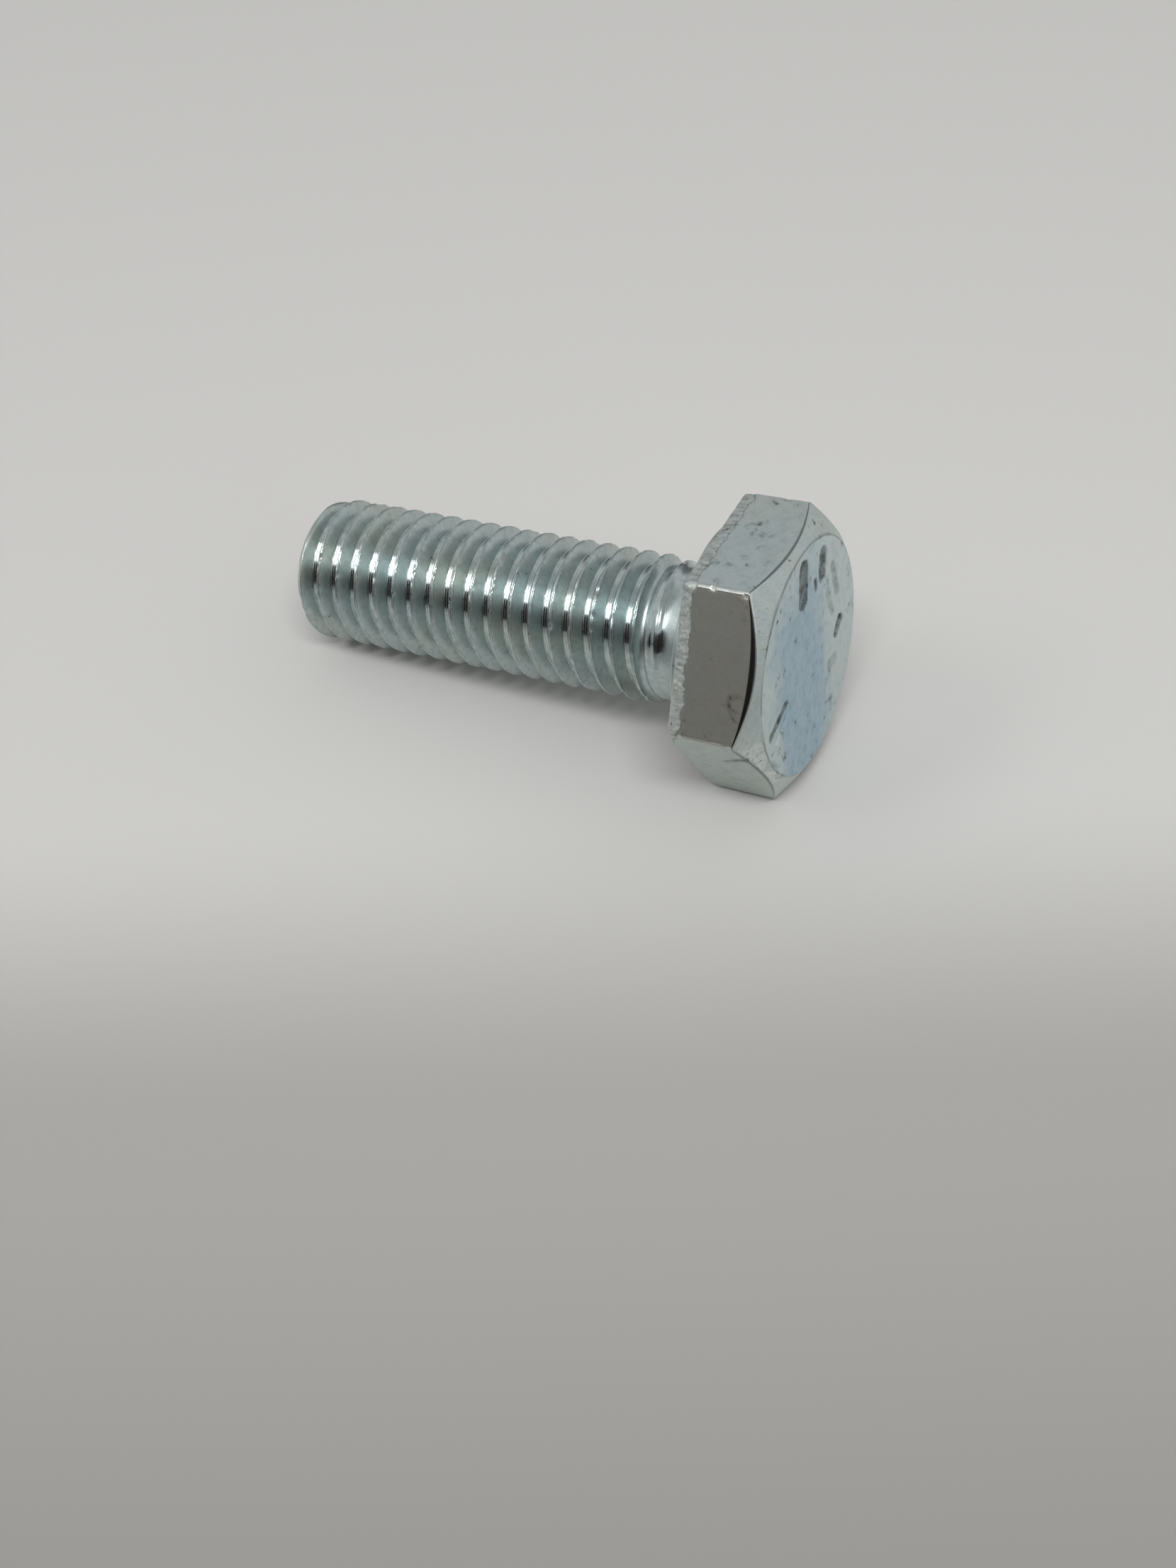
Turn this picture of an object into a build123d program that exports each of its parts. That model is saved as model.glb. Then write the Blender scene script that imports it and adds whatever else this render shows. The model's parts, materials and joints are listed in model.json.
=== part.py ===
from build123d import *
import math
import os

# Hexagon-head bolt, M10 coarse thread, threaded up to a short neck under the head.
# It is one cold-headed piece with a rolled thread, so it is one solid in one node.
# Millimetres. +Z is up. The bolt lies on its side as it comes to rest, head towards +X:
# the edge of one flat and the crest nearest the tip touch the ground, z = 0.

# ---- thread
thread_diameter = 9.85      # over the crests
pitch = 1.5
pitch_diameter = 8.98       # where thread and groove are equally wide
root_diameter = 8.14
flank_angle = 30.0          # each flank, from square to the axis
groove_at_top = -5.15       # a groove's middle on the upper side, from the bearing face

# ---- shank, measured along the axis from the bearing face, tip side negative
bolt_length = 30.4
tip_diameter = 8.1
tip_chamfer = 0.8
shoulder_start = -3.9       # here the crests begin to run down to the neck
shoulder_end = -2.6
neck_diameter = 9.1
under_head_bevel = 0.35     # the small fillet where neck and head meet, drawn as a bevel

# ---- head
head_height = 6.2
across_flats = 16.9
washer_face_diameter = 15.8
washer_face_height = 0.6
top_circle_diameter = 15.6
chamfer_angle = 34.0        # bevel of the six corners, from the top face
corner_bevel = 0.12         # the six upright edges are a little broken
bottom_bevel = 0.2          # broken edge round the underside of the hexagon

# ---- run-out of the groove into the neck
runout_turns = 0.35
runout_start_turn = -0.3    # from the upper side, in the last groove
runout_rise = 0.62


def shank():
    # turned outline: tip bevel, full diameter, shoulder, neck and the bevel under the head
    tip_z = -bolt_length
    neck_r = neck_diameter / 2
    crest_r = thread_diameter / 2
    bevel = under_head_bevel
    with BuildPart() as body:
        with BuildSketch(Plane.XZ):
            with BuildLine():
                Polyline(
                    (0, 1.0),
                    (0, tip_z),
                    (tip_diameter / 2, tip_z),
                    (crest_r, tip_z + tip_chamfer),
                    (crest_r, shoulder_start),
                    (neck_r, shoulder_end),
                    (neck_r, -bevel),
                    (neck_r + bevel, 0),
                    (neck_r + bevel, 1.0),
                    close=True,
                )
            make_face()
        revolve(axis=Axis.Z)
    return body.part


def groove_profile(start):
    # cross-section of the groove in a plane through the axis: two 30 degree flanks, flat root
    slope = math.tan(math.radians(flank_angle))
    outside = 0.35
    crest = thread_diameter / 2
    outer = crest + outside
    root = root_diameter / 2
    half_outer = pitch / 4 + (outer - pitch_diameter / 2) * slope
    half_root = pitch / 4 + (root - pitch_diameter / 2) * slope
    plane = Plane(origin=start, x_dir=(1, 0, 0), z_dir=(0, -1, 0))
    with BuildSketch(plane) as sketch:
        with BuildLine():
            Polyline(
                (outer - crest, -half_outer),
                (root - crest, -half_root),
                (root - crest, half_root),
                (outer - crest, half_outer),
                close=True,
            )
        make_face()
    return sketch.sketch


def full_groove():
    # right-hand groove, from below the tip to where the run-out begins
    turns_below = 18
    start_z = groove_at_top - turns_below * pitch
    end_z = groove_at_top + (1 + runout_start_turn) * pitch
    path = Helix(
        pitch=pitch,
        height=end_z - start_z,
        radius=thread_diameter / 2,
        center=(0, 0, start_z),
    )
    return sweep(groove_profile(path @ 0), path=path, is_frenet=True)


def groove_runout():
    # the same groove climbing out of the shank over about half a turn
    height = runout_turns * pitch
    start_z = groove_at_top + (1 + runout_start_turn) * pitch
    path = Helix(
        pitch=pitch,
        height=height,
        radius=thread_diameter / 2,
        center=(0, 0, start_z),
        cone_angle=math.degrees(math.atan(runout_rise / height)),
    )
    climb = sweep(groove_profile(path @ 0), path=path, is_frenet=True)
    return Rot(0, 0, 360 * runout_start_turn) * climb


def head():
    # hexagon with broken upright edges, bevelled top corners and a raised washer face
    flat_r = across_flats / 2
    corner_r = flat_r / math.cos(math.radians(30))
    top_r = top_circle_diameter / 2
    drop = (corner_r + 1 - top_r) * math.tan(math.radians(chamfer_angle))
    hexagon = extrude(
        Plane.XY.offset(washer_face_height) * RegularPolygon(flat_r, 6, major_radius=False, rotation=30),
        head_height - washer_face_height,
    )
    hexagon = chamfer(hexagon.edges().filter_by(Axis.Z), corner_bevel)
    underside = hexagon.faces().sort_by(Axis.Z)[0]
    hexagon = chamfer(underside.edges(), bottom_bevel)
    with BuildPart() as turned:
        with BuildSketch(Plane.XZ):
            with BuildLine():
                Polyline(
                    (0, 0),
                    (corner_r + 1, 0),
                    (corner_r + 1, head_height - drop),
                    (top_r, head_height),
                    (0, head_height),
                    close=True,
                )
            make_face()
        revolve(axis=Axis.Z)
    washer_face = Cylinder(
        washer_face_diameter / 2,
        washer_face_height + 0.5,
        align=(Align.CENTER, Align.CENTER, Align.MIN),
    )
    return (hexagon & turned.part) + washer_face


def lay_down(bolt):
    # turn the axis to the resting tilt: local +X points up, local +Z runs towards the head
    edge_z = washer_face_height + bottom_bevel
    crest_width = pitch / 2 - (thread_diameter - pitch_diameter) * math.tan(math.radians(flank_angle))
    crest_z = groove_at_top + 2 * pitch - 18 * pitch - crest_width / 2
    fall = across_flats / 2 - thread_diameter / 2
    tilt = math.atan(fall / (edge_z - crest_z))
    lean = Plane(
        origin=(0, 0, 0),
        x_dir=(-math.sin(tilt), 0, math.cos(tilt)),
        z_dir=(math.cos(tilt), 0, math.sin(tilt)),
    )
    laid = lean.location * bolt
    box = laid.bounding_box()
    middle_x = (box.min.X + box.max.X) / 2
    middle_y = (box.min.Y + box.max.Y) / 2
    print("tilt in degrees", math.degrees(tilt))
    print("box before moving", box)
    print("bearing face centre", (-middle_x, -middle_y, -box.min.Z))
    print("axis direction", (math.cos(tilt), 0, math.sin(tilt)))
    return Pos(-middle_x, -middle_y, -box.min.Z) * laid


def main():
    os.makedirs("parts", exist_ok=True)
    body = shank() - full_groove()
    body = body - groove_runout()
    bolt = lay_down(body + head())
    print("solids", len(bolt.solids()), "valid", bolt.is_valid)
    export_step(bolt, "parts/bolt.step")


main()
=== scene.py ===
import json
import math

import bpy
import numpy as np
from mathutils import Matrix, Vector, noise


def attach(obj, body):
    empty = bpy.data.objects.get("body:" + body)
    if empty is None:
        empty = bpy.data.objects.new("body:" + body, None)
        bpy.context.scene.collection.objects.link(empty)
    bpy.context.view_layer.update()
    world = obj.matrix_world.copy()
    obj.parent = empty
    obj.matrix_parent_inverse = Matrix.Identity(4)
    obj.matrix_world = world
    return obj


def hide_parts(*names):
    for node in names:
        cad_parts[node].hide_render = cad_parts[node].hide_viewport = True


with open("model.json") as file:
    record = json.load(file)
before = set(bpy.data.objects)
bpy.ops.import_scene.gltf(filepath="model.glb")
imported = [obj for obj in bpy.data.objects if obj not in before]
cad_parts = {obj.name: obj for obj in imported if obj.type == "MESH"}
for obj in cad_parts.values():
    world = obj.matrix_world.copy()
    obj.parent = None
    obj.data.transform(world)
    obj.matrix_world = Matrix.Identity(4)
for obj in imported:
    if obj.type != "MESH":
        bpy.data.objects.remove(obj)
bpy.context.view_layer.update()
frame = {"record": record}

# ---- How the bolt lies
# The bolt is one forged and rolled piece. It lies on its side, on the edge of one flat and on
# the crest nearest the tip, so its axis rises towards the head. Both meshes are made along +Z
# with the bearing face at z = 0 and a flat facing +X, and are then laid in that place.
bearing = next(m for m in frame["record"]["mounts"] if m["name"] == "bearing_face")
to_head = -Vector(bearing["axis"]).normalized()
to_top = Vector((-to_head.z, 0, to_head.x))
to_side = to_head.cross(to_top)
lying = Matrix((to_top, to_side, to_head)).transposed().to_4x4()
lying.translation = Vector(bearing["pos_m"])

# ---- The threaded shank
# Rolled thread M10 x 1.5, right-hand, in zinc-plated steel, from a bevelled tip to a short
# plain neck that flares into the underside of the head. The rolling dies squeeze the metal up
# into crests whose two halves meet in a ragged fold, and they leave the root rounded.
mm = 0.001
shank_sizes = {
    "Thread diameter": 9.85,
    "Root diameter": 8.2,
    "Neck diameter": 9.1,
    "Pitch": 1.5,
    "Crest half width": 0.078,
    "Fold depth": 0.07,
    "First crest": -32.9,
    "Tip": -30.4,
    "Tip radius": 4.05,
    "Under-head fillet": 0.4,
}
shank_counts = {"Columns": 180, "Rows per pitch": 24, "Turns": 23}
flank_angle = math.radians(30)
crest_swell = 0.01 * mm
crest_round = 0.045 * mm
root_round = 0.03 * mm
fold_off_middle = 0.03 * mm
fold_half_width = 0.04 * mm
fold_wander = 0.12 * mm
bruise_reach = 0.3 * mm
bruise_share = 0.25
crests_die = (-4.2 * mm, -2.2 * mm)
grooves_die = (-4.7 * mm, -3.0 * mm)
tip_slope = 1.08
tip_soft = 0.25 * mm
tip_round = 0.12 * mm
tip_dish = 0.18 * mm
tip_closing = 1.0 * mm
inside_head = 0.05 * mm
head_closing = 0.6 * mm
weld_gap = 0.0005 * mm


class Wire:
    """A node's output, which adds, multiplies and compares like a number."""

    def __init__(self, tree, socket=None):
        self.tree = tree
        self.socket = socket

    def node(self, kind, settings=None, sockets=None, out=0):
        made = self.tree.nodes.new(kind)
        for name, value in (settings or {}).items():
            setattr(made, name, value)
        for name, value in (sockets or {}).items():
            if isinstance(value, Wire):
                self.tree.links.new(value.socket, made.inputs[name])
            else:
                made.inputs[name].default_value = value
        return Wire(self.tree, made.outputs[out])

    def maths(self, operation, *values):
        return self.node("ShaderNodeMath", {"operation": operation}, dict(enumerate(values)))

    def __add__(self, other):
        return self.maths("ADD", self, other)

    __radd__ = __add__

    def __sub__(self, other):
        return self.maths("SUBTRACT", self, other)

    def __rsub__(self, other):
        return self.maths("SUBTRACT", other, self)

    def __mul__(self, other):
        return self.maths("MULTIPLY", self, other)

    __rmul__ = __mul__

    def __truediv__(self, other):
        return self.maths("DIVIDE", self, other)

    def __rtruediv__(self, other):
        return self.maths("DIVIDE", other, self)

    def __pow__(self, other):
        return self.maths("POWER", self, other)

    def least(self, other):
        return self.maths("MINIMUM", self, other)

    def most(self, other):
        return self.maths("MAXIMUM", self, other)

    def ramp(self, low, high):
        """0 below low, 1 above high, smooth between."""
        settings = {"interpolation_type": "SMOOTHSTEP"}
        ends = {"Value": self, "From Min": low, "From Max": high}
        return self.node("ShaderNodeMapRange", settings, ends)

    def cloud(self, scale, detail, roughness=0.5):
        """Cloudy noise over this place."""
        look = {"Vector": self, "Scale": scale, "Detail": detail, "Roughness": roughness}
        return self.node("ShaderNodeTexNoise", {}, look)

    def mask(self, name):
        """A value that the mesh keeps on its points."""
        return self.node("ShaderNodeAttribute", {"attribute_name": name}, out=2)

    def mix(self, factor, first, second):
        """Blend two colours."""
        ends = [end if isinstance(end, Wire) else (*end, 1) for end in (first, second)]
        sockets = {0: factor, 6: ends[0], 7: ends[1]}
        return self.node("ShaderNodeMix", {"data_type": "RGBA"}, sockets, out=2)

    def output(self, name):
        """Another output of the same node."""
        return Wire(self.tree, self.socket.node.outputs[name])

    def feed(self, shader, name):
        """Join this value to the shader's socket of that name."""
        self.tree.links.new(self.socket, shader.inputs[name])


rolling = bpy.data.node_groups.new("rolled_thread", "GeometryNodeTree")
rolling.interface.new_socket(name="Geometry", in_out="OUTPUT", socket_type="NodeSocketGeometry")
socket_names = {}
for name, value in shank_sizes.items():
    made = rolling.interface.new_socket(name=name, in_out="INPUT", socket_type="NodeSocketFloat")
    made.default_value = value * mm
    socket_names[name] = made.identifier
for name, value in shank_counts.items():
    made = rolling.interface.new_socket(name=name, in_out="INPUT", socket_type="NodeSocketInt")
    made.default_value = value
    socket_names[name] = made.identifier
made = rolling.interface.new_socket(name="Finish", in_out="INPUT", socket_type="NodeSocketMaterial")
socket_names["Finish"] = made.identifier

roll = Wire(rolling)
given = rolling.nodes.new("NodeGroupInput")
size = {name: Wire(rolling, given.outputs[name]) for name in socket_names}
pitch = size["Pitch"]
rows = size["Turns"] * size["Rows per pitch"]
sheet_points = {"Vertices X": size["Columns"] + 1, "Vertices Y": rows + 1}
sheet = roll.node("GeometryNodeMeshGrid", sockets={"Size X": 1.0, "Size Y": 1.0, **sheet_points})
place = roll.node("GeometryNodeInputPosition")
split = roll.node("ShaderNodeSeparateXYZ", sockets={"Vector": place})
across = split + 0.5
along = split.output("Y") + 0.5
turn_angle = across * math.tau

# Rows follow the helix. Counted from each crest, they lie close together on the crest and
# where the flank meets the root, and far apart down the straight flank and across the root.
# Each band is a number of rows and the mm between them, drawn for 24 rows to a 1.5 mm pitch.
row_bands = ((5, 0.025), (3, 0.138), (3, 0.018), (1, 0.157))
drawn_rows = 24
drawn_pitch = 1.5 * mm
step = along * size["Turns"]
whole = roll.maths("ROUND", step)
count = (step - whole) * size["Rows per pitch"]
sense = roll.maths("SIGN", count)
count = roll.maths("ABSOLUTE", count) * (drawn_rows / size["Rows per pitch"])
side = 0
passed = 0
for held, apart in row_bands:
    side = side + (count - passed).most(0).least(held) * apart
    passed += held
side = side * mm * (pitch / drawn_pitch)
from_crest = side * sense
height = size["First crest"] + pitch * (whole + across) + from_crest

# crest, straight flanks and rounded root
crest_r = size["Thread diameter"] * 0.5
root_r = size["Root diameter"] * 0.5
neck_r = size["Neck diameter"] * 0.5
down_flank = (side - size["Crest half width"]) * (1 / math.tan(flank_angle))
ridge = roll.maths("SMOOTH_MIN", crest_r + crest_swell - down_flank, crest_r, crest_round)
ridge = roll.maths("SMOOTH_MAX", ridge, root_r, root_round)

# the ragged fold along each crest, and small bruises on the crests
cosine = roll.maths("COSINE", turn_angle)
sine = roll.maths("SINE", turn_angle)
spot = {"X": cosine * crest_r, "Y": sine * crest_r, "Z": height}
spot = roll.node("ShaderNodeCombineXYZ", sockets=spot)
wander = spot.cloud(4200.0, 2.0)
folded_here = spot.cloud(700.0, 1.0).ramp(0.38, 0.55)
bruised_here = spot.cloud(1500.0, 0.0).ramp(0.64, 0.8)
off_fold = from_crest + fold_off_middle - (wander - 0.5) * fold_wander
fold = (off_fold / fold_half_width) ** 2
fold = 1 / (1 + fold * fold)
fold = fold * size["Fold depth"] * folded_here
bruise = (ridge - crest_r + bruise_reach).most(0) * bruised_here * bruise_share
ridge = ridge - fold - bruise

# the thread dies away into the neck over about the last turn
swell = (ridge - neck_r).most(0) * (1 - height.ramp(*crests_die))
sunk = (ridge - neck_r).least(0) * (1 - height.ramp(*grooves_die))
radius = neck_r + swell + sunk
plain = height.ramp(-2.3 * mm, -1.7 * mm)
run_out = height.ramp(-3.7 * mm, -3.1 * mm)

# flare into the head
fillet = size["Under-head fillet"]
rise = ((height + fillet) / fillet).most(0).least(1)
radius = radius + fillet * (1 - roll.maths("SQRT", (1 - rise * rise).most(0)))

# bevelled, slightly rounded tip
from_tip = height - size["Tip"]
soft = (1 - from_tip / tip_soft).most(0).least(1)
bevel = size["Tip radius"] + from_tip * tip_slope - soft * soft * tip_round
radius = roll.maths("SMOOTH_MIN", radius, bevel, tip_round)

# rows past the tip close its dished face, and rows past the head close inside it
past_tip = (0 - from_tip).most(0) / tip_closing
past_head = (height - inside_head).most(0) / head_closing
tip_edge = size["Tip radius"] - tip_round
face = (1 - past_tip).most(0)
past = roll.maths("GREATER_THAN", past_tip, 0)
radius = radius * (1 - past) + tip_edge * face * past
radius = radius * (1 - past_head).most(0)
dish = (1 - face * face) * past * tip_dish
height = height.most(size["Tip"]).least(inside_head) + dish

# masks for the finish are stored before the points move: how deep in the groove, the plain
# neck, the run-out, and how many mm from the crest
rolled = sheet
depth = ((crest_r - radius) / (crest_r - root_r)).most(0).least(1)
shank_masks = {"depth": depth, "plain": plain, "run_out": run_out, "lane": side / mm}
for name, mask in shank_masks.items():
    rolled = roll.node(
        "GeometryNodeStoreNamedAttribute",
        {"data_type": "FLOAT", "domain": "POINT"},
        {"Geometry": rolled, "Name": name, "Value": mask},
    )
shape = {"X": cosine * radius, "Y": sine * radius, "Z": height}
shape = roll.node("ShaderNodeCombineXYZ", sockets=shape)
rolled = roll.node("GeometryNodeSetPosition", sockets={"Geometry": rolled, "Position": shape})
welded = {"Geometry": rolled, "Distance": weld_gap}
rolled = roll.node("GeometryNodeMergeByDistance", sockets=welded)
rolled = roll.node("GeometryNodeSetShadeSmooth", sockets={"Geometry": rolled})
rolled = roll.node("GeometryNodeRealizeInstances", sockets={"Geometry": rolled})
plated = {"Geometry": rolled, "Material": size["Finish"]}
rolled = roll.node("GeometryNodeSetMaterial", sockets=plated)
rolling.links.new(rolled.socket, rolling.nodes.new("NodeGroupOutput").inputs["Geometry"])


def plating(name, blue, straw):
    """Bright zinc plate: a cool grey metal, faintly blue and straw in cloudy patches."""
    plate = bpy.data.materials.new(name)
    plate.use_nodes = True
    z = Wire(plate.node_tree)
    place = z.node("ShaderNodeTexCoord", out="Object")
    patches = place.cloud(260.0, 3.0, 0.6).ramp(0.4, 0.66)
    shader = plate.node_tree.nodes["Principled BSDF"]
    shader.inputs["Metallic"].default_value = 1.0
    return plate, shader, z, place, z.mix(patches, blue, straw)


# the roots and crests are bright, and the flanks and the neck are satin
thread_blue = (0.495, 0.58, 0.58)
thread_straw = (0.515, 0.575, 0.545)
pit_black = (0.06, 0.07, 0.07)
shank_plate, shader, z, place, colour = plating("zinc_on_thread", thread_blue, thread_straw)
depth, plain, run_out, lane = [z.mask(name) for name in shank_masks]
crest = 1 - depth.ramp(0.02, 0.12)
flank = depth.ramp(0.08, 0.2) * (1 - depth.ramp(0.85, 0.97)) * (1 - run_out)
fine = place.cloud(8000.0, 3.0, 0.6)
coarse = place.cloud(2300.0, 3.0, 0.6)
broad = place.cloud(500.0, 1.0)
pit = coarse.ramp(0.68, 0.74) * broad.ramp(0.45, 0.6)

# the dies leave fine dull lines along the root and the crest
lines = {"W": lane + (coarse - 0.5) * 0.035, "Scale": 13.0, "Detail": 1.0}
lines = z.node("ShaderNodeTexNoise", {"noise_dimensions": "1D"}, lines).ramp(0.52, 0.6)
lines = lines * (1 - plain) * (1 - flank) * (1 - run_out * 0.6) * coarse.ramp(0.3, 0.5)
grime = coarse.ramp(0.42, 0.66) * 0.15 + fine.ramp(0.45, 0.7) * 0.1 + lines * 0.15
z.mix((grime + pit * 0.8).least(1), colour, pit_black).feed(shader, "Base Color")
rough = 0.08 + coarse * 0.06 + flank * 0.2 + plain * 0.35 + pit * 0.4 + lines * 0.24
rough.feed(shader, "Roughness")
relief = fine * (0.2 + crest * 0.9 + plain * 0.5) + coarse * (0.3 + crest * 0.8 + plain * 0.6)
relief = relief - pit * 1.5 - lines * 0.5
bumps = {"Height": relief, "Strength": 0.4, "Distance": 0.012 * mm}
z.node("ShaderNodeBump", {}, bumps).feed(shader, "Normal")

blank = bpy.data.objects.new("shank_rolling", bpy.data.meshes.new("shank_rolling"))
bpy.context.scene.collection.objects.link(blank)
press = blank.modifiers.new("rolled_thread", "NODES")
press.node_group = rolling
for name, value in shank_sizes.items():
    press[socket_names[name]] = value * mm
for name, value in shank_counts.items():
    press[socket_names[name]] = value
press[socket_names["Finish"]] = shank_plate
rolled_shape = blank.evaluated_get(bpy.context.evaluated_depsgraph_get())
shank_mesh = bpy.data.meshes.new_from_object(rolled_shape)
bpy.data.objects.remove(blank)
shank_mesh.transform(lying)
shank = bpy.data.objects.new("threaded_shank", shank_mesh)
bpy.context.scene.collection.objects.link(shank)
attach(shank, "root")
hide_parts("bolt")

# ---- The head
# Cold-headed hexagon in plated steel, 17 mm across flats, with a turned bevel on top and a thin
# washer face below. Trimming dies cut the six flats: they roll the metal over at the top edge
# and tear it in a ragged band along the bottom edge.

# sizes in mm, as the mesh is scaled when it is made
columns = 600
flat_r = 8.45
corner_round = 0.16
corner_r = 9.69
washer_r = 7.9
washer_round = 0.15
hex_bottom = 0.42
edge_round = 0.2
band_top = 1.9
head_top = 6.2
top_circle_r = 7.8
bevel_angle = math.radians(34)
torn_rows, flat_rows, bend_rows, bevel_rows, face_rows = 26, 14, 7, 12, 74

around = np.arange(columns) * math.tau / columns
half_side = math.pi / 6
from_flat = (around + half_side) % (math.pi / 3) - half_side
corner_turn = half_side - np.abs(from_flat)
corner_centre = (flat_r - corner_round) / math.cos(half_side)
off_corner = corner_centre * np.sin(corner_turn)
corner_arc = np.sqrt(np.maximum(corner_round**2 - off_corner**2, 0))
rounded_r = corner_centre * np.cos(corner_turn) + corner_arc
hex_r = np.where(off_corner < corner_round * 0.5, rounded_r, flat_r / np.cos(from_flat))
hex_r = np.minimum(hex_r, corner_r)
# the bevel's inner circle is drawn in on one side
top_r = top_circle_r - 0.4 * np.maximum(np.cos(around - math.radians(235)), 0) ** 2
bevel_z = head_top - (hex_r - top_r) * math.tan(bevel_angle)
# most metal is rolled over on the flat that faces the front
rolled_in = 0.07 + 0.2 * np.maximum(np.cos(around - math.pi / 3), 0) ** 4
roll_over = rolled_in * (1 - (np.abs(from_flat) / half_side) ** 2) + 0.06

rings = []


def ring(radius, height):
    rings.append((np.broadcast_to(radius, columns) * 1.0, np.broadcast_to(height, columns) * 1.0))


# washer face, from the shank outwards, its rounded edge, and the step up to the hexagon
for radius in (3.0, 4.4, 5.2, 6.0, 6.8, 7.3, 7.6, 7.72):
    ring(radius, 0)
for turn in np.radians((15, 40, 65, 90)):
    ring(washer_r - washer_round * (1 - math.sin(turn)), washer_round * (1 - math.cos(turn)))
for outer, under in ((0, 0.1), (0.03, 0.03), (0.1, 0)):
    ring(washer_r + outer, hex_bottom - under)

# underside of the hexagon, its rounded edge, the torn band and the flats
ring(hex_r - edge_round - 0.08, hex_bottom)
for turn in np.radians((0, 22, 45, 67, 90)):
    ring(hex_r - edge_round * (1 - math.sin(turn)), hex_bottom + edge_round * (1 - math.cos(turn)))
band_foot = hex_bottom + edge_round
for part in np.arange(1, torn_rows + 1) / torn_rows:
    ring(hex_r, band_foot + (band_top - band_foot) * part)
flat_top = bevel_z - roll_over
for part in np.arange(1, flat_rows + 1) / flat_rows:
    ring(hex_r, band_top + (flat_top - band_top) * part)

# the rolled-over bend, from the flat to the bevel
bevel_run = roll_over * 0.55
out_r = hex_r - bevel_run * math.cos(bevel_angle)
out_z = bevel_z + bevel_run * math.sin(bevel_angle)
bend_start = len(rings)
for part in np.arange(1, bend_rows + 1) / bend_rows:
    low, mid, high = (1 - part) ** 2, 2 * part * (1 - part), part**2
    ring((low + mid) * hex_r + high * out_r, low * flat_top + mid * bevel_z + high * out_z)
bend_rings = range(bend_start, len(rings) - 1)

# bevel, rim and top face
bevel_start = len(rings)
for part in np.arange(1, bevel_rows + 1) / (bevel_rows + 1):
    ring(out_r + (top_r + 0.06 - out_r) * part, out_z + (head_top - 0.04 - out_z) * part)
bevel_rings = range(bevel_start, len(rings))
rim_ring = len(rings)
ring(top_r, head_top - 0.012)
for radius in np.linspace(top_r - 0.08, 0.1, face_rows):
    ring(radius, head_top)
top_rings = range(rim_ring + 1, len(rings))

points = [(0.0, 0.0, 0.0)]
for radius, height in rings:
    points.extend(zip(radius * np.cos(around), radius * np.sin(around), height))
points.append((0.0, 0.0, head_top))
points = np.array(points)


def gap_to(places, start, end):
    """How far each place is from the line between two points, and how far along the line."""
    start, run = np.array(start), np.array(end) - np.array(start)
    part = np.clip((places - start) @ run / (run @ run), 0, 1)
    return np.linalg.norm(places - start - part[:, None] * run, axis=1), part


# plain recessed strokes and pits in the top face, with no lettering:
# start, end, half width, depth, and how dark the inside is painted,
# partly as dirt and partly as painted shade in the recess
strokes = (
    ((6.6, -0.3), (4.7, 0.2), 0.75, 0.15, 0.85),
    ((5.7, -3.3), (4.5, -2.9), 0.6, 0.18, 0.7),
    ((4.7, -1.75), (4.1, -1.85), 0.24, 0.2, 1.0),
    ((3.9, -4.6), (1.7, -4.9), 0.4, 0.12, 0.3),
    ((2.6, -3.4), (0.7, -3.9), 0.35, 0.08, 0.3),
    # painted shadow: the shaded left wall of the broad pale stroke on the next line
    ((-0.65, 4.2), (-1.3, 6.7), 0.42, 0.2, 0.85),
    ((-1.2, 4.2), (-1.85, 6.3), 0.6, 0.12, 0.0),
    ((-0.7, -4.9), (-1.2, -4.2), 0.45, 0.16, 0.9),
    ((-2.9, -3.5), (-2.8, -2.7), 0.5, 0.05, 0.3),
    ((-3.2, 7.1), (-3.8, 6.7), 0.35, 0.14, 0.4),
)
wall_width = 0.2
soiling_and_shade_width = 0.08
on_top = points[:, 2] > head_top - 0.005
uneven = 0.05 * np.sin(points[:, 0] * 5.1) * np.cos(points[:, 1] * 6.7 + 1.0)
cut = np.zeros(len(points))
# how dark each point inside the strokes is painted: dirt and painted shade in the recess
stroke_soiling_and_shade = np.zeros(len(points))
for start, end, half_width, deep, dark in strokes:
    inside = half_width - (gap_to(points[:, :2], start, end)[0] + uneven)
    wall = np.clip(inside / wall_width, 0, 1)
    cut = np.maximum(cut, deep * (wall * wall * (3 - 2 * wall)))
    stroke_soiling_and_shade = np.maximum(stroke_soiling_and_shade, dark * np.clip(inside / soiling_and_shade_width, 0, 1))
points[:, 2] -= np.where(on_top, cut, 0)

# a gouge on the lower flat, running in from its top edge and fading
gouge_deep = 0.08
gouge_half_width = 0.2
gap, part = gap_to(points, (-1.5, 8.89, 5.35), (-2.5, 8.32, 3.7))
gouge = np.clip(1.3 - gap / gouge_half_width, 0, 1) * (1 - 0.5 * part)

# torn band along the bottom edge of the flats, nicks on the corners, and faint unevenness
reach = np.linalg.norm(points[:, :2], axis=1)
outward = np.column_stack((points[:, :2], np.zeros(len(points))))
outward /= np.maximum(reach, 1e-9)[:, None]
on_side = (reach > 8.15) & (points[:, 2] > 0.4)
band_height = 1.36
band_edge = 0.1
lower_turn = math.radians(120)
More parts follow.
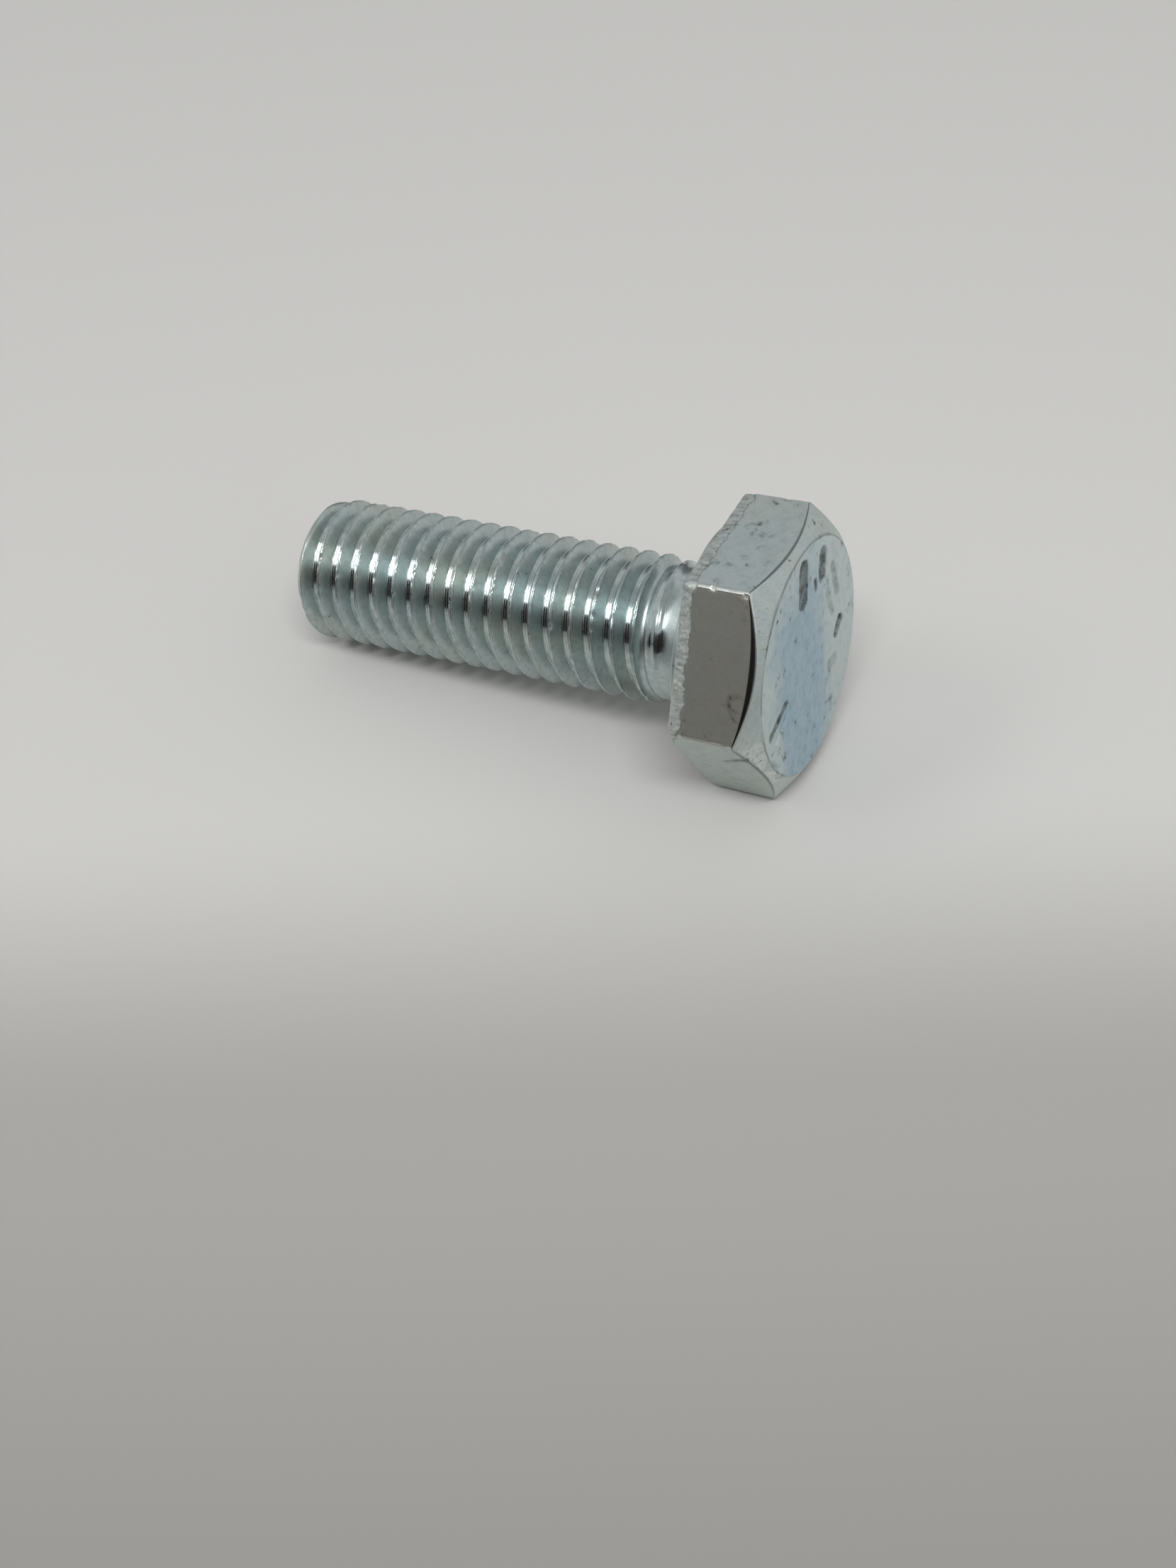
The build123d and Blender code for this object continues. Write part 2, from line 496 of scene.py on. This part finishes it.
# angle round the head, height, how wide and how deep
nick_r = 9.6
nicks = (
    (30, 2.55, 0.22, 0.15),
    (31, 4.75, 0.2, 0.14),
    (90, 1.3, 0.25, 0.12),
    (91, 4.6, 0.35, 0.14),
    (-30, 3.4, 0.3, 0.12),
    (150, 2.2, 0.25, 0.1),
    (210, 3.0, 0.3, 0.12),
)
torn_mask = np.zeros(len(points))
for index in np.nonzero(on_side)[0]:
    spot = Vector(points[index])
    # the band is narrow on the flat that faces down and forward
    towards = (spot.y * math.sin(lower_turn) + spot.x * math.cos(lower_turn)) / reach[index]
    edge = band_height - 0.72 * min(max((towards - 0.84) / 0.066, 0), 1)
    edge += 0.25 * noise.noise(spot * 1.3) + 0.12 * noise.noise(spot * 4.3)
    torn = min(max((edge - spot.z) / band_edge, 0), 1)
    slope = max(edge - spot.z, 0) * 0.08
    rough = 0.5 + 0.5 * noise.noise(spot * 4.1) + 0.4 * noise.noise(spot * 9.7)
    inset = torn * (0.012 + slope + 0.05 * max(rough, 0))
    inset += 0.006 * (0.5 + 0.5 * noise.noise(spot * 0.9))
    for turn, level, wide, deep in nicks:
        turn = math.radians(turn)
        middle = Vector((nick_r * math.cos(turn), nick_r * math.sin(turn), level))
        inset += deep * max(1 - (spot - middle).length / wide, 0)
    points[index] -= outward[index] * (inset + gouge_deep * gouge[index])
    torn_mask[index] = torn

faces = []
for column in range(columns):
    after = (column + 1) % columns
    faces.append((0, 1 + after, 1 + column))
    for row in range(len(rings) - 1):
        low, high = 1 + row * columns, 1 + (row + 1) * columns
        faces.append((low + column, low + after, high + after, high + column))
    last = 1 + (len(rings) - 1) * columns
    faces.append((last + column, last + after, len(points) - 1))
head_mesh = bpy.data.meshes.new("hexagon_head")
head_mesh.from_pydata((points * mm).tolist(), [], faces)
head_mesh.transform(lying)
head_mesh.shade_smooth()


def band(rows):
    """1 on the points of these rings, 0 elsewhere."""
    mask = np.zeros(len(points))
    for row in rows:
        mask[1 + row * columns : 1 + (row + 1) * columns] = 1
    return mask


head_masks = {
    "torn": torn_mask,
    "bend": band(bend_rings),
    "bevel": band(bevel_rings),
    "rim": band([rim_ring]),
    "top": band(top_rings),
    # marked: where the strokes and the gouge are painted dark, as dirt and painted shade
    "marked": np.where(on_top, stroke_soiling_and_shade, gouge),
}
head_masks["top"][-1] = 1
for name, mask in head_masks.items():
    head_mesh.attributes.new(name, "FLOAT", "POINT").data.foreach_set("value", mask)

# the flats are satin, the bevel is grainy, and the top face has a blue bloom across its middle
head_blue = (0.53, 0.61, 0.615)
head_straw = (0.55, 0.61, 0.585)
face_grey = (0.60, 0.70, 0.70)
bevel_grey = (0.66, 0.73, 0.69)
bloom_blue = (0.37, 0.52, 0.625)
front_warm_reflection = (0.60, 0.595, 0.54)
scuffed_pale = (0.78, 0.83, 0.80)
lower_green = (0.45, 0.52, 0.475)
bend_shade_dark = (0.10, 0.12, 0.12)
torn_grey = (0.60, 0.65, 0.625)
soiled_shade_black = (0.11, 0.125, 0.12)
head_plate, shader, z, place, colour = plating("zinc_on_head", head_blue, head_straw)
torn, bend, on_bevel, rim, on_face, marked = [z.mask(name) for name in head_masks]
fine = place.cloud(5500.0, 4.0, 0.65)
coarse = place.cloud(1500.0, 5.0, 0.62)
broad = place.cloud(420.0, 2.0)

# the bolt's own directions: up and aside across the head, height along the axis
turned = {"Vector": place, "Location": lying.translation, "Rotation": lying.to_euler()}
turned = z.node("ShaderNodeMapping", {"vector_type": "TEXTURE"}, turned)
turned = z.node("ShaderNodeSeparateXYZ", sockets={"Vector": turned})
up, aside, height = [turned.output(name) for name in "XYZ"]
reach = (up * up + aside * aside) ** 0.5
front = (up * 0.5 + aside * 0.866).ramp(8.3 * mm, 8.4 * mm)
lower = (aside * 0.866 - up * 0.5).ramp(8.3 * mm, 8.4 * mm)
corner = reach.ramp(9.64 * mm, 9.69 * mm)
# painted shadow: the corner the head rests on is darkened as if shaded by the floor
contact_shaded_corner = corner * (1 - up.ramp(-8.3 * mm, -7.7 * mm))
off_bloom = aside - 1.6 * mm + up * 0.08 + (broad - 0.5) * (4 * mm)
bloom = 1 - z.maths("ABSOLUTE", off_bloom).ramp(2.4 * mm, 5.4 * mm)
bloom = bloom * on_face * (1 - up.ramp(3.5 * mm, 7 * mm) * 0.65)
# the plate is scuffed pale where the lower corner has been knocked
scuffed = (aside * 0.927 - up * 0.375) / reach + (broad - 0.5) * 0.06
scuffed = scuffed.ramp(0.93, 0.97) * on_bevel * coarse.ramp(0.4, 0.5)

colour = z.mix(on_face * 0.8, colour, face_grey)
colour = z.mix(on_bevel * coarse.ramp(0.40, 0.60) * 0.8, colour, bevel_grey)
colour = z.mix(bloom * (0.5 + coarse * 0.7), colour, bloom_blue)
# painted reflection: the front flat is tinted warm, as if mirroring the brownish room in front
colour = z.mix(front * (0.3 + broad), colour, front_warm_reflection)
colour = z.mix(scuffed * 0.8, colour, scuffed_pale)
colour = z.mix(lower * 0.7, colour, lower_green)
# painted shade: the rolled-over bend is painted almost black for the dark line in the crease
colour = z.mix(bend * 0.8, colour, bend_shade_dark)
colour = z.mix((torn + (corner - contact_shaded_corner) * 0.4).least(1) * 0.85, colour, torn_grey)

# dark specks and smears, streaks in the torn band, dirt and painted shade in the strokes, a
# painted shadow along the corner the head rests on, and a patchy dark line round the rim
speck = coarse.ramp(0.645, 0.70) * broad.ramp(0.3, 0.5) * (1 - lower * 0.8)
smear = coarse.ramp(0.54, 0.66) * broad.ramp(0.52, 0.6) * (1 - lower * 0.7)
streaks = z.node("ShaderNodeCombineXYZ", sockets={"X": up, "Y": aside, "Z": height * 0.3})
streaks = streaks.cloud(3200.0, 3.0).ramp(0.46, 0.64) * torn
torn_edge = torn * (1 - torn) * 4
marks = marked * (0.68 + coarse.ramp(0.42, 0.62) * 0.35)
soiling_and_shade = coarse.ramp(0.42, 0.66) * 0.12 + fine.ramp(0.45, 0.7) * 0.08
soiling_and_shade = soiling_and_shade + speck * 0.7 + smear * 0.35 + streaks * 0.3 + torn_edge * 0.45
soiling_and_shade = soiling_and_shade + marks + contact_shaded_corner * 0.6 + rim * broad.ramp(0.3, 0.55) * 0.5
z.mix(soiling_and_shade.least(1), colour, soiled_shade_black).feed(shader, "Base Color")
rough = 0.38 - on_face * 0.05 + on_bevel * 0.07 + torn * 0.15 - bend * 0.2
rough = rough + (coarse - 0.5) * 0.08 + speck * 0.2 + marked * 0.2 + scuffed * 0.1
rough.feed(shader, "Roughness")
grain = on_bevel * 1.8 + scuffed * 2.5 + torn * 1.2 + marked * 1.2 + corner * 1.2
relief = fine * (0.2 + grain) + coarse * (0.12 + grain * 2.0) - speck * 0.1
bumps = {"Height": relief, "Strength": 0.6, "Distance": 0.025 * mm}
z.node("ShaderNodeBump", {}, bumps).feed(shader, "Normal")

head_mesh.materials.append(head_plate)
head = bpy.data.objects.new("hexagon_head", head_mesh)
bpy.context.scene.collection.objects.link(head)
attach(head, "root")
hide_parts("bolt")

# ---- The floor
# A plain pale sheet under the bolt, wide enough to fill the view. It falls off darker from the
# bolt towards the viewer: a painted shadow of the dark figure standing in front.
reach = 1.5
sheet_corners = [(-reach, -reach, 0), (reach, -reach, 0), (reach, reach, 0), (-reach, reach, 0)]
sheet_pale = (0.63, 0.625, 0.608)
floor_shadow_grey = (0.388, 0.382, 0.364)
floor_shadow_dark = (0.291, 0.287, 0.272)
floor_mesh = bpy.data.meshes.new("floor")
floor_mesh.from_pydata(sheet_corners, [], [(0, 1, 2, 3)])
floor = bpy.data.objects.new("floor", floor_mesh)
bpy.context.scene.collection.objects.link(floor)
paper = bpy.data.materials.new("pale_floor")
paper.use_nodes = True
shader = paper.node_tree.nodes["Principled BSDF"]
p = Wire(paper.node_tree)
place = p.node("ShaderNodeTexCoord", out="Object")
east = p.node("ShaderNodeSeparateXYZ", sockets={"Vector": place})
nearer = east * 0.45 - east.output("Y") * 0.9
# painted shadow, deepening from the bolt towards the viewer
tone = p.mix(nearer.ramp(0.011, 0.037), sheet_pale, floor_shadow_grey)
p.mix(nearer.ramp(0.035, 0.075), tone, floor_shadow_dark).feed(shader, "Base Color")
shader.inputs["Roughness"].default_value = 0.7
shader.inputs["Specular IOR Level"].default_value = 0.3
floor_mesh.materials.append(paper)

# ---- The light
# A pale, evenly lit room. A dark figure stands in front of the bolt, with a bright window above
# its left side, and the shiny thread roots mirror them as white over black. A soft strip lamp,
# high in front on the head's side, gives the shadow its edge.
room = bpy.data.worlds.new("pale_room")
room.use_nodes = True
bpy.context.scene.world = room
air = Wire(room.node_tree)
look = air.node("ShaderNodeTexCoord", out="Generated")
east = air.node("ShaderNodeSeparateXYZ", sockets={"Vector": look})
north, above = east.output("Y"), east.output("Z")
level_part = (1 - above * above).most(0.001) ** 0.5


def facing(turn, outer, inner):
    """1 towards a compass direction, fading to 0 between two angles off it."""
    turn = math.radians(turn)
    along = (east * math.cos(turn) + north * math.sin(turn)) / level_part
    return along.ramp(math.cos(math.radians(outer)), math.cos(math.radians(inner)))


figure = facing(-90, 49, 44) * (1 - above.ramp(0.52, 0.54))
far_side = facing(112, 35, 20) * (1 - above.ramp(0.3, 0.5))
wall = facing(40, 50, 30) * (1 - above.ramp(0.1, 0.35))
window = east.ramp(-0.68, -0.66) * (1 - east.ramp(-0.47, -0.45)) * (1 - north.ramp(-0.12, -0.08))
window = window * above.ramp(0.54, 0.555) * (1 - above.ramp(0.785, 0.80))
level = 0.38 + above.ramp(0.05, 0.45) * 0.28 - above.ramp(0.72, 0.85) * 0.22
level = (level + wall * 0.3 + window * 2.4) * (1 - far_side * 0.6)
# the camera itself sees an even grey behind the floor
backdrop = 0.6
seen = air.node("ShaderNodeLightPath", out="Is Camera Ray")
lit = {}
for name, left in (("Red", 0.06), ("Green", 0.05), ("Blue", 0.045)):
    lit[name] = level * (1 - figure * (1 - left)) * (1 - seen) + seen * backdrop
sky = room.node_tree.nodes["Background"]
air.node("ShaderNodeCombineColor", sockets=lit).feed(sky, "Color")

lamp_data = bpy.data.lights.new("soft_lamp", "AREA")
lamp_data.shape = "RECTANGLE"
lamp_data.size = 0.30
lamp_data.size_y = 0.07
lamp_data.energy = 1.25
lamp = bpy.data.objects.new("soft_lamp", lamp_data)
bpy.context.scene.collection.objects.link(lamp)
lamp.location = (0.12, -0.235, 0.44)
lamp.rotation_euler = (Vector((0, 0, 0)) - lamp.location).to_track_quat("-Z", "Y").to_euler()

# ---- The camera
# It looks down on the bolt from the head's side, about 15 cm away, and is held about two
# degrees off level.
camera_data = bpy.data.cameras.new("camera")
camera_data.lens = 50.19
camera_data.sensor_width = 36
camera_data.clip_start = 0.01
camera = bpy.data.objects.new("camera", camera_data)
bpy.context.scene.collection.objects.link(camera)
camera.location = (0.054475, -0.098214, 0.102401)
camera.rotation_euler = (math.radians(44.972), math.radians(2.412), math.radians(26.024))
bpy.context.scene.camera = camera
bpy.context.scene.view_settings.view_transform = "Standard"
